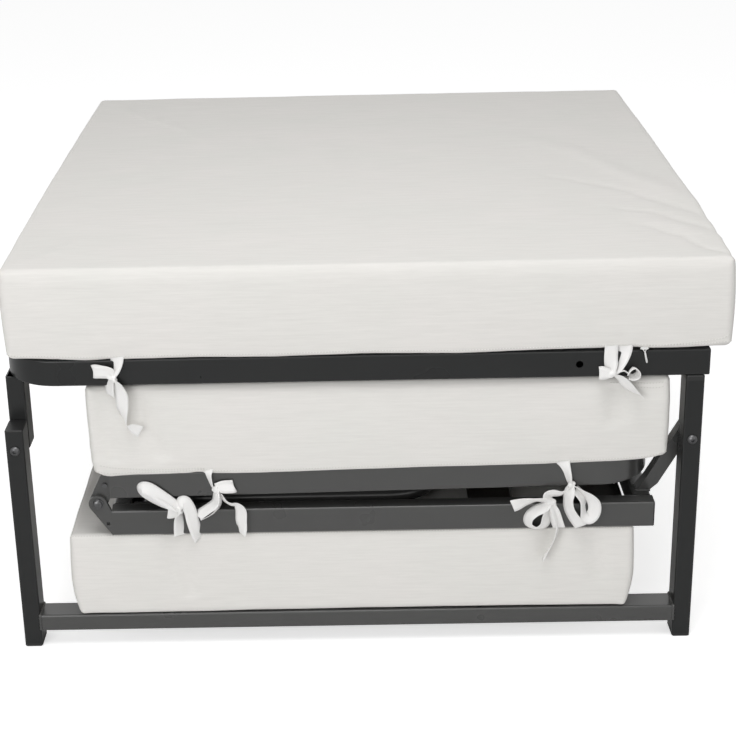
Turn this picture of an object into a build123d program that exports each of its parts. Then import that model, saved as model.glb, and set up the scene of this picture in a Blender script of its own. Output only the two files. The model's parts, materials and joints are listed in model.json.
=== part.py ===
"""Fold out ottoman guest bed: a stool-sized stack of three foam mattresses on folding steel decks.

X runs along the folded bed, Y from the front to the back, Z up; the origin is on the floor under
the middle of the folded bed. The top deck lifts about the two left bolts. The inner deck hangs by
two arms from the right bolts and swings over to the right. The outer deck is riveted to the inner
one and unfolds from it. Two hidden U-shaped legs carry the two decks that fold out.
"""
from build123d import *
import math
import os

os.makedirs("parts", exist_ok=True)

# Running clearance and the overrun of every cut
fit_gap = 0.3
overrun = 1.0

# Rectangular steel tube, the same for the stand and the decks
tube_narrow = 20.0
tube_wide = 30.0
tube_wall = 1.5
tube_corner = 2.5
bend_radius = 50.0

# Plan of the stand and the decks
leg_spacing = 736.0
top_overhang = 26.0
mattress_width = 800.0
frame_side_reach = 8.0

# Lengths of the decks
top_bend_inset = 1.0
top_end_overhang = 3.0
top_bar_inset = 6.0
top_mattress_inset = 12.0
hinge_end_offset = 100.0
inner_end_offset = 38.0
inner_mattress_overhang = 46.4
inner_mattress_inset = 20.0
outer_end_step = 1.0
outer_mattress_overhang = 18.0
outer_mattress_reach = 12.0

# Heights, from the floor up
foot_height = 4.0
rail_bottom = 20.0
mattress_thick = 100.0
hinge_over_inner = 9.0
hinge_under_outer = 6.0
outer_tilt = 0.68
outer_foam_room = 4.7
rest_cap_height = 6.0
leg_over_pivot = 22.7
leg_plug_height = 1.5
stub_below_pivot = 9.3

# Plastic plugs and caps in the tube ends
plug_depth = 14.0
plug_head = 1.5
plug_slack = 0.1
cap_bevel = 1.2
cross_tube_inset = 138.0

# Pivot bolts with button heads, and their lock nuts
bolt_diameter = 6.0
bolt_head_diameter = 10.5
bolt_head_height = 3.3
bolt_head_shares = [(0, 0), (1, 0), (1, 0.33), (0.8, 0.67), (0.45, 1), (0, 1)]
bolt_tail = 2.0
bolt_socket = 4.0
bolt_socket_depth = 1.8
nut_across_flats = 10.0
nut_height = 6.0
bolt_play = 0.3

# Swing arms between the inner deck and the right bolts
arm_size = 15.0
arm_base_inset = 4.1
arm_knee_rise = 13.4

# Hinge between the inner and the outer deck
hinge_reach = 14.4
hinge_eye_radius = 10.0
hinge_plate_thick = 4.0
hinge_tongue = 20.0
outer_plate_shoulder = 7.9
rivet_diameter = 7.0
rivet_head_diameter = 13.0
rivet_head_height = 3.6
rivet_ring = 1.0
rivet_dome_shares = [(0.72, 0.68), (0.4, 0.93), (0, 1)]
rivet_tail_diameter = 11.0
rivet_tail_height = 2.4
plate_bolt_drop = 15.0
plate_bolt_inset = 5.6
plate_bolt_diameter = 3.5
plate_bolt_head = 5.5
plate_bolt_head_height = 2.0
plate_hole_inset = 4.3
plate_hole_rise = 15.0
plate_hole_diameter = 4.0

# Sprung wooden slats in plastic holders
slat_width = 50.0
slat_thick = 8.0
slat_edge = 2.0
holder_wall = 1.5
holder_length = 32.0
holder_back = 3.0
holder_bevel = 2.0
slat_slack = 0.15
slat_end_space = 30.0
top_slat_count = 7
inner_slat_count = 5
outer_slat_count = 5

# Folding legs of round tube, closed at both ends and so drawn solid
leg_diameter = 18.0
leg_bend_radius = 50.0
leg_side_space = 19.0
inner_leg_inset = 38.0
outer_leg_inset = 89.0
leg_foot_wall = 1.5
leg_foot_length = 40.0
leg_foot_bend_space = 40.0
leg_pin_diameter = 8.0
leg_pin_head = 2.0
leg_pin_head_diameter = 12.0
bracket_thick = 3.0
bracket_half_length = 15.0
boss_diameter = 15.0

# Foam mattresses
foam_crown = 3.0
foam_cross_lift = 0.6
foam_draw = 2.5
foam_corner = 18.0
foam_edge = 12.0
foam_base_edge = 7.0
foam_overhang = 1.2

# Pilot hole in the top deck's front rail
rail_hole_diameter = 8.0
rail_hole_inset = 137.5

# Places along X, worked out from the sizes above
left_face = -(leg_spacing + tube_narrow + top_overhang) / 2
right_face = -left_face
left_pivot_x = left_face + tube_narrow / 2
right_pivot_x = left_pivot_x + leg_spacing
top_left = left_face + top_bend_inset
top_right = right_pivot_x + tube_narrow / 2 + top_end_overhang
inner_right = right_pivot_x - inner_end_offset
inner_left = left_pivot_x + hinge_end_offset
outer_right = inner_right - outer_end_step
hinge_x = inner_left - hinge_reach
arm_base_x = inner_right - arm_base_inset

# Places along Y
mattress_half = mattress_width / 2
frame_half = mattress_half + frame_side_reach
deck_inner_half = frame_half - tube_narrow
stand_inner_half = frame_half - tube_wide
leg_half = deck_inner_half - leg_side_space - leg_diameter / 2
leg_foot_place = leg_half - leg_bend_radius - leg_foot_length / 2 - leg_foot_bend_space

# Heights
rail_top = rail_bottom + tube_narrow
inner_bottom = rail_top + fit_gap + mattress_thick
inner_top = inner_bottom + tube_wide
hinge_z = inner_top + hinge_over_inner
outer_bottom = hinge_z + hinge_under_outer
outer_top = outer_bottom + tube_wide
rest_height = outer_top + mattress_thick + outer_foam_room
top_bottom = rest_height + fit_gap
top_top = top_bottom + tube_wide
pivot_z = (inner_top + top_bottom) / 2
inner_leg_z = inner_top - fit_gap - leg_diameter / 2
outer_leg_z = outer_bottom + fit_gap + leg_diameter / 2

tilt = Pos(hinge_x, 0, hinge_z) * Rot(0, -outer_tilt, 0) * Pos(-hinge_x, 0, -hinge_z)
tilt_slope = math.tan(math.radians(outer_tilt))
sides = {"front": -1, "rear": 1}


def save(name, *solids):
    """Write one sub-part; identical pieces share a file as separate solids."""
    shape = solids[0] if len(solids) == 1 else Compound(children=list(solids))
    export_step(shape, os.path.join("parts", name + ".step"))


def block(x_range, y_range, z_range):
    """Solid box between two places on each axis, given in either order."""
    spans = [sorted(span) for span in (x_range, y_range, z_range)]
    size = [high - low for low, high in spans]
    middle = [(high + low) / 2 for low, high in spans]
    return Pos(*middle) * Box(*size)


def rod(centre_x, centre_z, diameter, y_from, y_to):
    """Round bar along Y."""
    bar = Cylinder(diameter / 2, abs(y_to - y_from))
    return Pos(centre_x, (y_from + y_to) / 2, centre_z) * Rot(90, 0, 0) * bar


def turned(profile_points, x, y, z, side):
    """Revolve a half profile of (radius, height) points; its height points out of the given side."""
    outline = make_face(Polyline(*[(r, h) for r, h in profile_points], close=True))
    body = revolve(Plane.XZ * outline, Axis.Z)
    return Pos(x, y, z) * Rot(-90 * side, 0, 0) * body


def tube_section(across, deep):
    """Hollow section of the rectangular tube with its rolled corners; the bore is drawn square."""
    return RectangleRounded(across, deep, tube_corner) - tube_bore(across, deep)


def tube_bore(across, deep):
    return Rectangle(across - 2 * tube_wall, deep - 2 * tube_wall)


def tube_along_x(x0, x1, y, z, across, deep):
    return extrude(Plane.YZ.offset(x0) * Pos(y, z) * tube_section(across, deep), x1 - x0)


def tube_along_y(half_length, x, z, across, deep):
    return extrude(Plane.XZ * Pos(x, z) * tube_section(across, deep), half_length, both=True)


def tube_along_z(z0, z1, x, y, across, deep):
    return extrude(Pos(x, y, z0) * tube_section(across, deep), z1 - z0)


def bent_frame(x_open, x_bent, z):
    """Deck frame bent from one tube: two sides, two corner bends and a cross bar."""
    y = frame_half - tube_narrow / 2
    inward = math.copysign(tube_narrow / 2, x_open - x_bent)
    x_bar = x_bent + inward
    corners = [(x_open, -y, z), (x_bar, -y, z), (x_bar, y, z), (x_open, y, z)]
    path = FilletPolyline(*corners, radius=bend_radius)
    start = Plane(origin=path @ 0, x_dir=(0, 1, 0), z_dir=path % 0)
    outside = sweep(start * RectangleRounded(tube_narrow, tube_wide, tube_corner), path=path)
    inside = sweep(start * tube_bore(tube_narrow, tube_wide), path=path)
    return outside - inside


def plug(across, deep, head):
    """Plastic plug, its head on the tube's end at z = 0 and its body down inside the tube."""
    body_across = across - 2 * tube_wall - 2 * plug_slack
    body_deep = deep - 2 * tube_wall - 2 * plug_slack
    cap = extrude(RectangleRounded(across, deep, tube_corner), head)
    cap = chamfer(cap.faces().sort_by(Axis.Z)[-1].edges(), min(cap_bevel, head / 2))
    body = Pos(0, 0, -plug_depth) * extrude(Rectangle(body_across, body_deep), plug_depth)
    return cap + body


# Stand

def leg(x, side, top):
    y = side * (frame_half - tube_wide / 2)
    tube = tube_along_z(foot_height, top, x, y, tube_narrow, tube_wide)
    hole = rod(x, pivot_z, bolt_diameter + 2 * bolt_play, y - tube_wide, y + tube_wide)
    return tube - hole


left_leg_top = pivot_z + leg_over_pivot
right_leg_top = rest_height - rest_cap_height
leg_y = frame_half - tube_wide / 2
for side_name, side in sides.items():
    save(side_name + "_left_leg", leg(left_pivot_x, side, left_leg_top))
    save(side_name + "_right_leg", leg(right_pivot_x, side, right_leg_top))
    rail_ends = (left_pivot_x + tube_narrow / 2, right_pivot_x - tube_narrow / 2)
    rail_z = rail_bottom + tube_narrow / 2
    save(side_name + "_rail", tube_along_x(*rail_ends, side * leg_y, rail_z, tube_wide, tube_narrow))

cross_tubes = []
for cross_x in (rail_ends[0] + cross_tube_inset, rail_ends[1] - cross_tube_inset):
    cross_tubes.append(tube_along_y(stand_inner_half, cross_x, rail_z, tube_wide, tube_narrow))
save("stand_cross_tubes", *cross_tubes)

foot_caps = []
left_plugs = []
rest_caps = []
for side in sides.values():
    for x in (left_pivot_x, right_pivot_x):
        foot_cap = plug(tube_narrow, tube_wide, foot_height)
        foot_caps.append(Pos(x, side * leg_y, foot_height) * Rot(180, 0, 0) * foot_cap)
    left_plug = plug(tube_narrow, tube_wide, leg_plug_height)
    left_plugs.append(Pos(left_pivot_x, side * leg_y, left_leg_top) * left_plug)
    rest_cap = plug(tube_narrow, tube_wide, rest_cap_height)
    rest_caps.append(Pos(right_pivot_x, side * leg_y, right_leg_top) * rest_cap)
save("foot_caps", *foot_caps)
save("left_leg_plugs", *left_plugs)
save("right_rest_caps", *rest_caps)


# Pivot bolts and nuts

def pivot_bolt(x, side, grip):
    """Button-head bolt through the leg and the piece that turns behind it."""
    length = grip + nut_height + bolt_tail
    shank = rod(x, pivot_z, bolt_diameter, side * frame_half, side * (frame_half - length))
    profile = [(r * bolt_head_diameter / 2, h * bolt_head_height) for r, h in bolt_head_shares]
    head = turned(profile, x, side * frame_half, pivot_z, side)
    socket = extrude(RegularPolygon(bolt_socket / 2, 6, major_radius=False), bolt_socket_depth + overrun)
    seat = side * (frame_half + bolt_head_height - bolt_socket_depth)
    return head + shank - Pos(x, seat, pivot_z) * Rot(-90 * side, 0, 0) * socket


def lock_nut(x, side, inner_face):
    """Hexagon nut with a domed collar against the inner face of what the bolt carries."""
    hexagon = extrude(RegularPolygon(nut_across_flats / 2, 6, major_radius=False), nut_height)
    corner_radius = nut_across_flats / 2 / math.cos(math.pi / 6)
    collar = Cone(corner_radius + nut_height / 2, corner_radius - nut_height / 4, nut_height)
    nut = (hexagon & Pos(0, 0, nut_height / 2) * collar) - Cylinder(bolt_diameter / 2, 3 * nut_height)
    return Pos(x, inner_face, pivot_z) * Rot(90 * side, 0, 0) * nut


stub_outer = stand_inner_half - fit_gap
stub_inner = stub_outer - tube_wide
arm_outer = stand_inner_half - fit_gap
arm_inner = arm_outer - arm_size
left_bolts = []
right_bolts = []
nuts = []
for side in sides.values():
    left_bolts.append(pivot_bolt(left_pivot_x, side, frame_half - stub_inner + fit_gap))
    right_bolts.append(pivot_bolt(right_pivot_x, side, frame_half - arm_inner + fit_gap))
    nuts.append(lock_nut(left_pivot_x, side, side * (stub_inner - fit_gap)))
    nuts.append(lock_nut(right_pivot_x, side, side * (arm_inner - fit_gap)))
save("left_pivot_bolts", *left_bolts)
save("right_pivot_bolts", *right_bolts)
save("pivot_nuts", *nuts)


# Slats and their holders, the same on every deck

def slat_places(x0, x1, count):
    first = x0 + slat_end_space
    step = (x1 - x0 - 2 * slat_end_space) / (count - 1)
    return [first + step * i for i in range(count)]


def slat_set(x_places, mattress_face, inward):
    """Slats and holders; inward is -1 where the mattress lies above the frame and 1 below it."""
    middle = mattress_face + inward * (holder_wall + slat_thick / 2)
    slat_half = deck_inner_half - holder_back
    slats = []
    holders = []
    for x in x_places:
        section = chamfer(Rectangle(slat_width, slat_thick).vertices(), slat_edge)
        slats.append(extrude(Plane.XZ * Pos(x, middle) * section, slat_half, both=True))
        half_x = slat_width / 2 + holder_wall
        half_z = slat_thick / 2 + holder_wall
        for side in sides.values():
            shell_y = (side * deck_inner_half, side * (deck_inner_half - holder_length))
            shell = block((x - half_x, x + half_x), shell_y, (middle - half_z, middle + half_z))
            mouth_corners = shell.edges().filter_by(Axis.Z).sort_by(lambda e: abs(e.center().Y))[:2]
            shell = chamfer(mouth_corners, holder_bevel)
            pocket_x = (x - slat_width / 2 - slat_slack, x + slat_width / 2 + slat_slack)
            pocket_y = (side * slat_half, side * (deck_inner_half - holder_length - overrun))
            pocket_z = (middle - slat_thick / 2 - slat_slack, middle + slat_thick / 2 + slat_slack)
            holders.append(shell - block(pocket_x, pocket_y, pocket_z))
    return slats, holders


# Mattresses

def mattress(x0, x1, base_left, base_right, top, facing=1):
    """Foam block with a crowned top face, rounded seam edges and sides drawn in between corners."""
    half = mattress_half
    middle = (x0 + x1) / 2
    edges = [
        ThreePointArc((x0, -half), (middle, -half + foam_draw), (x1, -half)),
        ThreePointArc((x1, -half), (x1 - foam_draw, 0), (x1, half)),
        ThreePointArc((x1, half), (middle, half - foam_draw), (x0, half)),
        ThreePointArc((x0, half), (x0 + foam_draw, 0), (x0, -half)),
    ]
    plan = make_face(edges)
    plan = fillet(plan.vertices(), foam_corner)
    low = min(base_left, base_right, top) - overrun
    high = max(base_left, base_right, top) + overrun
    block_of_foam = extrude(Pos(0, 0, low) * plan, high - low)

    shoulder = top - facing * foam_crown
    left = x0 - foam_overhang
    right = x1 + foam_overhang
    slope = (base_right - base_left) / (x1 - x0)
    low_left = (left, base_left - slope * foam_overhang)
    low_right = (right, base_right + slope * foam_overhang)
    length_lines = [
        Line(low_left, low_right),
        Line(low_right, (right, shoulder)),
        ThreePointArc((right, shoulder), (middle, top), (left, shoulder)),
        Line((left, shoulder), low_left),
    ]
    block_of_foam &= extrude(Plane.XZ * rounded_profile(length_lines, top), half + overrun, both=True)

    # The profile across stands a little proud, so that the two crowns cross in a clean curve
    lift = facing * foam_cross_lift
    base = (min(base_left, base_right) if facing > 0 else max(base_left, base_right)) - lift
    wide = half + foam_overhang
    width_lines = [
        Line((-wide, base), (wide, base)),
        Line((wide, base), (wide, shoulder)),
        ThreePointArc((wide, shoulder), (0, top + lift), (-wide, shoulder)),
        Line((-wide, shoulder), (-wide, base)),
    ]
    across = Plane.YZ.offset(x0 - overrun) * rounded_profile(width_lines, top)
    return block_of_foam & extrude(across, x1 - x0 + 2 * overrun)


def rounded_profile(lines, top):
    """Face of a mattress profile with soft edges on its top face and tighter ones on its base."""
    face = make_face(lines)
    corners = face.vertices().sort_by(lambda v: abs(v.Y - top))
    face = fillet(corners[:2], foam_edge)
    corners = face.vertices().sort_by(lambda v: abs(v.Y - top))
    return fillet(corners[-2:], foam_base_edge)


# Top deck

top_tube_z = (top_bottom + top_top) / 2
top_frame = bent_frame(top_right, top_left, top_tube_z)
rail_hole_x = top_right - rail_hole_inset
rail_hole_y = (-frame_half - overrun, -frame_half + tube_wall + overrun)
top_frame -= rod(rail_hole_x, top_tube_z, rail_hole_diameter, *rail_hole_y)
save("top_frame_tube", top_frame)

top_bar_x = top_right - top_bar_inset - tube_narrow / 2
save("top_end_tube", tube_along_y(deck_inner_half, top_bar_x, top_tube_z, tube_narrow, tube_wide))

stub_bottom = pivot_z - stub_below_pivot
stub_y = (stub_outer + stub_inner) / 2
top_plugs = []
for side_name, side in sides.items():
    stub = tube_along_z(stub_bottom, top_bottom, left_pivot_x, side * stub_y, tube_narrow, tube_wide)
    stub_hole_y = (side * (stub_outer + overrun), side * (stub_inner - overrun))
    stub -= rod(left_pivot_x, pivot_z, bolt_diameter + 2 * bolt_play, *stub_hole_y)
    save("top_stub_" + side_name, stub)
    stub_plug = plug(tube_narrow, tube_wide, plug_head)
    shaft_way = rod(left_pivot_x, pivot_z, bolt_diameter + 2 * bolt_play, *stub_hole_y)
    top_plugs.append(Pos(left_pivot_x, side * stub_y, stub_bottom) * Rot(180, 0, 0) * stub_plug - shaft_way)
    rail_y = side * (frame_half - tube_narrow / 2)
    end_plug = plug(tube_wide, tube_narrow, plug_head)
    top_plugs.append(Pos(top_right, rail_y, top_tube_z) * Rot(0, 90, 0) * end_plug)
save("top_frame_plugs", *top_plugs)

bend_reach = tube_narrow / 2 + bend_radius
top_slat_x = slat_places(top_left + bend_reach, top_bar_x - tube_narrow / 2, top_slat_count)
top_slats, top_holders = slat_set(top_slat_x, top_top, -1)
save("top_slats", *top_slats)
save("top_slat_holders", *top_holders)
top_mattress_left = left_face + top_mattress_inset
save("top_mattress", mattress(top_mattress_left, right_face, top_top, top_top, top_top + mattress_thick))


# Inner deck

inner_tube_z = (inner_bottom + inner_top) / 2
deck_side_y = frame_half - tube_narrow / 2
inner_plugs = []
for side_name, side in sides.items():
    side_y = side * deck_side_y
    side_tube = tube_along_x(inner_left, inner_right, side_y, inner_tube_z, tube_narrow, tube_wide)
    save("inner_" + side_name + "_tube", side_tube)
    end_plug = plug(tube_wide, tube_narrow, plug_head)
    inner_plugs.append(Pos(inner_right, side_y, inner_tube_z) * Rot(0, 90, 0) * end_plug)
save("inner_frame_plugs", *inner_plugs)
inner_end_x = inner_right - tube_narrow / 2
hinge_tube_x = inner_left + tube_narrow / 2
save("inner_end_tube", tube_along_y(deck_inner_half, inner_end_x, inner_tube_z, tube_narrow, tube_wide))
save("inner_hinge_tube", tube_along_y(deck_inner_half, hinge_tube_x, inner_tube_z, tube_narrow, tube_wide))

# The arm's centre line runs from its base on the end tube up to the bolt
arm_rise = pivot_z - inner_top
arm_run = right_pivot_x - arm_base_x
arm_length = math.hypot(arm_rise, arm_run)
arm_unit = (arm_run / arm_length, arm_rise / arm_length)
arm_lean = math.degrees(math.atan2(arm_rise, arm_run))
knee = (arm_base_x + arm_unit[0] * arm_knee_rise, inner_top + arm_unit[1] * arm_knee_rise)


def arm_outline(width, end_radius):
    """Bar with one round end at the bolt, drawn in the XZ plane."""
    length = arm_length - arm_knee_rise
    bar = Pos(*knee) * Rot(0, 0, arm_lean) * Pos(length / 2, 0) * Rectangle(length, width)
    return bar + Pos(right_pivot_x, pivot_z) * Circle(end_radius)


def upright_plate(sketch, y_from, y_to):
    """Extrude a sketch of the XZ plane between two places on Y."""
    return extrude(Plane.XZ.offset(-y_from) * sketch, y_from - y_to)


def swing_arm(side):
    """Square tube with one end rounded about the bolt."""
    outside = upright_plate(arm_outline(arm_size, arm_size / 2), side * arm_outer, side * arm_inner)
    bore_size = arm_size - 2 * tube_wall
    bore_y = (side * (arm_outer - tube_wall), side * (arm_inner + tube_wall))
    bore = upright_plate(arm_outline(bore_size, bore_size / 2), *bore_y)
    hole_y = (side * (arm_outer + overrun), side * (arm_inner - overrun))
    return outside - bore - rod(right_pivot_x, pivot_z, bolt_diameter + 2 * bolt_play, *hole_y)


def arm_foot(side):
    """Bent foot that turns the arm's slant down onto the end tube."""
    half = arm_size / 2
    across = (arm_unit[1] * half, -arm_unit[0] * half)
    points = [
        (inner_right - arm_size, inner_top),
        (inner_right, inner_top),
        (knee[0] + across[0], knee[1] + across[1]),
        (knee[0] - across[0], knee[1] - across[1]),
    ]
    return upright_plate(make_face(Polyline(*points, close=True)), side * arm_outer, side * arm_inner)


arm_feet = []
for side_name, side in sides.items():
    save("swing_arm_" + side_name, swing_arm(side))
    arm_feet.append(arm_foot(side))
save("arm_feet", *arm_feet)


# Hinge plates and rivets

def hinge_plate(corners, hole_at, hole_diameter):
    """Plate outline: a round eye at the rivet, drawn straight to the tube's cut end."""
    eye = Pos(hinge_x, hinge_z) * Circle(hinge_eye_radius)
    outline = make_hull([*eye.edges(), *Polyline(*corners).edges()])
    outline -= Pos(hinge_x, hinge_z) * Circle(rivet_diameter / 2 + bolt_play)
    return outline - Pos(*hole_at) * Circle(hole_diameter / 2)


tongue_half = tube_wide / 2 - tube_corner
plate_outer = frame_half
plate_middle = plate_outer - hinge_plate_thick
outer_plate_face = plate_middle - fit_gap
outer_plate_back = outer_plate_face - hinge_plate_thick
inner_hole = (inner_left - plate_hole_inset, inner_bottom + plate_hole_rise)
outer_bolt = (inner_left - plate_bolt_inset, outer_top - plate_bolt_drop)
inner_corners = [(inner_left, inner_bottom), (inner_left, inner_top)]
outer_corners = [
    (inner_left, outer_bottom),
    (inner_left, outer_top),
    (inner_left - outer_plate_shoulder, outer_top),
]

inner_plates = []
outer_plates = []
rivets = []
outer_plate_bolts = []
for side in sides.values():
    outline = hinge_plate(inner_corners, inner_hole, plate_hole_diameter)
    plate = upright_plate(outline, side * plate_outer, side * plate_middle)
    tongue_x = (inner_left - tube_wall, inner_left + hinge_tongue)
    tongue_z = (inner_tube_z - tongue_half, inner_tube_z + tongue_half)
    tongue_face = frame_half - tube_wall - plug_slack
    tongue_y = (side * tongue_face, side * (tongue_face - hinge_plate_thick))
    inner_plates.append(plate + block(tongue_x, tongue_y, tongue_z))

    tongue_y = (side * outer_plate_face, side * outer_plate_back)
    plate = upright_plate(hinge_plate(outer_corners, outer_bolt, plate_bolt_diameter), *tongue_y)
    outer_mid_z = (outer_bottom + outer_top) / 2
    tongue_z = (outer_mid_z - tongue_half, outer_mid_z + tongue_half)
    outer_plates.append(tilt * (plate + block((inner_left, tongue_x[1]), tongue_y, tongue_z)))

    head_radius = rivet_head_diameter / 2
    head_profile = [(0, 0), (head_radius, 0), (head_radius, rivet_ring)]
    head_profile += [(head_radius - rivet_ring, rivet_ring)]
    head_profile += [(r * head_radius, h * rivet_head_height) for r, h in rivet_dome_shares]
    head = turned(head_profile, hinge_x, side * frame_half, hinge_z, side)
    tail_y = outer_plate_back - fit_gap
    shank = rod(hinge_x, hinge_z, rivet_diameter, side * frame_half, side * tail_y)
    tail = rod(hinge_x, hinge_z, rivet_tail_diameter, side * tail_y, side * (tail_y - rivet_tail_height))
    rivets.append(head + shank + tail)

    head_y = side * (outer_plate_face + plate_bolt_head_height)
    end_y = side * (outer_plate_back - plate_bolt_head_height)
    bolt_head = rod(*outer_bolt, plate_bolt_head, head_y, side * outer_plate_face)
    bolt_shank = rod(*outer_bolt, plate_bolt_diameter, side * outer_plate_face, end_y)
    outer_plate_bolts.append(tilt * (bolt_head + bolt_shank))
save("inner_hinge_plates", *inner_plates)
save("hinge_rivets", *rivets)
save("outer_hinge_plates", *outer_plates)
save("outer_plate_bolts", *outer_plate_bolts)

inner_slat_x = slat_places(inner_left + tube_narrow, inner_right - tube_narrow, inner_slat_count)
inner_slats, inner_holders = slat_set(inner_slat_x, inner_bottom, 1)
save("inner_slats", *inner_slats)
save("inner_slat_holders", *inner_holders)
inner_mattress_x = (inner_left - inner_mattress_overhang, inner_right - inner_mattress_inset)
inner_face = rail_top + fit_gap
inner_foam = mattress(*inner_mattress_x, inner_bottom, inner_bottom, inner_face, facing=-1)
save("inner_mattress", inner_foam)


# Outer deck, drawn level and then tilted about the hinge

outer_tube_z = (outer_bottom + outer_top) / 2
save("outer_frame_tube", tilt * bent_frame(inner_left, outer_right, outer_tube_z))
outer_hinge_tube = tube_along_y(deck_inner_half, hinge_tube_x, outer_tube_z, tube_narrow, tube_wide)
save("outer_hinge_tube", tilt * outer_hinge_tube)
outer_slat_x = slat_places(inner_left + tube_narrow, outer_right - bend_reach, outer_slat_count)
outer_slats, outer_holders = slat_set(outer_slat_x, outer_top, -1)
save("outer_slats", *[tilt * slat for slat in outer_slats])
save("outer_slat_holders", *[tilt * holder for holder in outer_holders])
outer_mattress_x = (inner_left - outer_mattress_overhang, outer_right + outer_mattress_reach)
tilt_cosine = math.cos(math.radians(outer_tilt))
outer_face_height = hinge_z + (outer_top - hinge_z) / tilt_cosine
outer_bases = [outer_face_height + (x - hinge_x) * tilt_slope for x in outer_mattress_x]
save("outer_mattress", mattress(*outer_mattress_x, *outer_bases, rest_height))


# Folding legs, each drawn in its deck's level frame

def folding_leg(pivot_x, z, toward, reach):
    """U-shaped leg: tube, foot sleeves, pins and brackets; toward is the way its foot end lies."""
    bracket_half_height = leg_diameter / 2 + fit_gap
    foot_radius = leg_diameter / 2 + leg_foot_wall
    bar_x = pivot_x + toward * (reach - foot_radius)
    corners = [(pivot_x, -leg_half, z), (bar_x, -leg_half, z), (bar_x, leg_half, z), (pivot_x, leg_half, z)]
    path = FilletPolyline(*corners, radius=leg_bend_radius)
    start = Plane(origin=path @ 0, x_dir=(0, 1, 0), z_dir=path % 0)
    tube = sweep(start * Circle(leg_diameter / 2), path=path)
    for side in sides.values():
        eye_y = (side * (leg_half - leg_diameter / 2), side * (leg_half + leg_diameter / 2))
        tube += rod(pivot_x, z, leg_diameter, *eye_y)
    feet = []
    pins = []
    brackets = []
    for side in sides.values():
        foot_y = (side * leg_foot_place - leg_foot_length / 2, side * leg_foot_place + leg_foot_length / 2)
        sleeve = rod(bar_x, z, 2 * foot_radius, *foot_y)
        bore_y = (foot_y[0] - overrun, foot_y[1] + overrun)
        feet.append(sleeve - rod(bar_x, z, leg_diameter + 2 * plug_slack, *bore_y))
        wall_y = side * deck_inner_half
        plate_y = side * (deck_inner_half - bracket_thick)
        leg_outer_y = side * (leg_half + leg_diameter / 2)
        leg_inner_y = side * (leg_half - leg_diameter / 2)
        hole_y = (leg_outer_y + side * overrun, leg_inner_y - side * overrun)
        tube -= rod(pivot_x, z, leg_pin_diameter + 2 * bolt_play, *hole_y)
        pin_end = leg_inner_y - side * (fit_gap + leg_pin_head)
        pin = rod(pivot_x, z, leg_pin_diameter, plate_y, pin_end)
        pin += rod(pivot_x, z, leg_pin_head_diameter, leg_inner_y - side * fit_gap, pin_end)
        pins.append(pin)
        plate_x = (pivot_x - bracket_half_length, pivot_x + bracket_half_length)
        plate = block(plate_x, (wall_y, plate_y), (z - bracket_half_height, z + bracket_half_height))
        boss_end = leg_outer_y + side * fit_gap
        boss = rod(pivot_x, z, boss_diameter, plate_y, boss_end)
        pin_way = rod(pivot_x, z, leg_pin_diameter + 2 * plug_slack, plate_y, boss_end - side * overrun)
        brackets.append(plate + boss - pin_way)
    return tube, feet, pins, brackets


inner_leg_x = inner_left + inner_leg_inset
inner_leg_reach = 2 * pivot_z - inner_leg_z
tube, feet, pins, brackets = folding_leg(inner_leg_x, inner_leg_z, 1, inner_leg_reach)
save("inner_leg_tube", tube)
save("inner_leg_feet", *feet)
save("inner_leg_pins", *pins)
save("inner_leg_brackets", *brackets)

outer_leg_x = outer_right - outer_leg_inset
outer_leg_reach = 2 * pivot_z - hinge_z + outer_leg_z - hinge_z
tube, feet, pins, brackets = folding_leg(outer_leg_x, outer_leg_z, -1, outer_leg_reach)
save("outer_leg_tube", tilt * tube)
save("outer_leg_feet", *[tilt * foot for foot in feet])
save("outer_leg_pins", *[tilt * pin for pin in pins])
save("outer_leg_brackets", *[tilt * bracket for bracket in brackets])
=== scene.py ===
"""Fold out ottoman guest bed: sewn covers, tie ribbons, finishes and a white studio.

Lengths are metres in the model's frame: X along the folded bed, Y to the back, Z up from the floor.
Small sizes are written in millimetres times mm.
"""
import json
import math

import bmesh
import bpy
import numpy as np
from mathutils import Matrix, Vector, noise


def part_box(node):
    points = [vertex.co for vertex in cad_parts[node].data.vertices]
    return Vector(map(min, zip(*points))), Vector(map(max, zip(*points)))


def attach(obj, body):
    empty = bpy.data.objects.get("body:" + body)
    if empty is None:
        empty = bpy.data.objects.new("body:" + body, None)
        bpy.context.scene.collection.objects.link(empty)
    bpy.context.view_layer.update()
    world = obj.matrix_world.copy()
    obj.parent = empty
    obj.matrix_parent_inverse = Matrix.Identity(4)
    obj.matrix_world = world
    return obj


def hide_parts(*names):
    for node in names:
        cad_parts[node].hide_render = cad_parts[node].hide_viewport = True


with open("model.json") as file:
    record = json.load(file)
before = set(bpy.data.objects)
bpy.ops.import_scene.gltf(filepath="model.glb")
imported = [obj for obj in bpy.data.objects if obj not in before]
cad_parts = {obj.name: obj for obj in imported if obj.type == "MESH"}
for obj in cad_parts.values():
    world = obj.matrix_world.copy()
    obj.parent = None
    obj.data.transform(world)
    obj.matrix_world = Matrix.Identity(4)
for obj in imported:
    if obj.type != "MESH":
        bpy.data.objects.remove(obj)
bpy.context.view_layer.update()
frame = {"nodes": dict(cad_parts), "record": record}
mm = 0.001


# Finishes

def linear(hex_code):
    """Linear colour of an sRGB hex value."""
    parts = [int(hex_code[i:i + 2], 16) / 255 for i in (1, 3, 5)]
    return [c / 12.92 if c <= 0.04045 else ((c + 0.055) / 1.055) ** 2.4 for c in parts] + [1.0]


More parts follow.
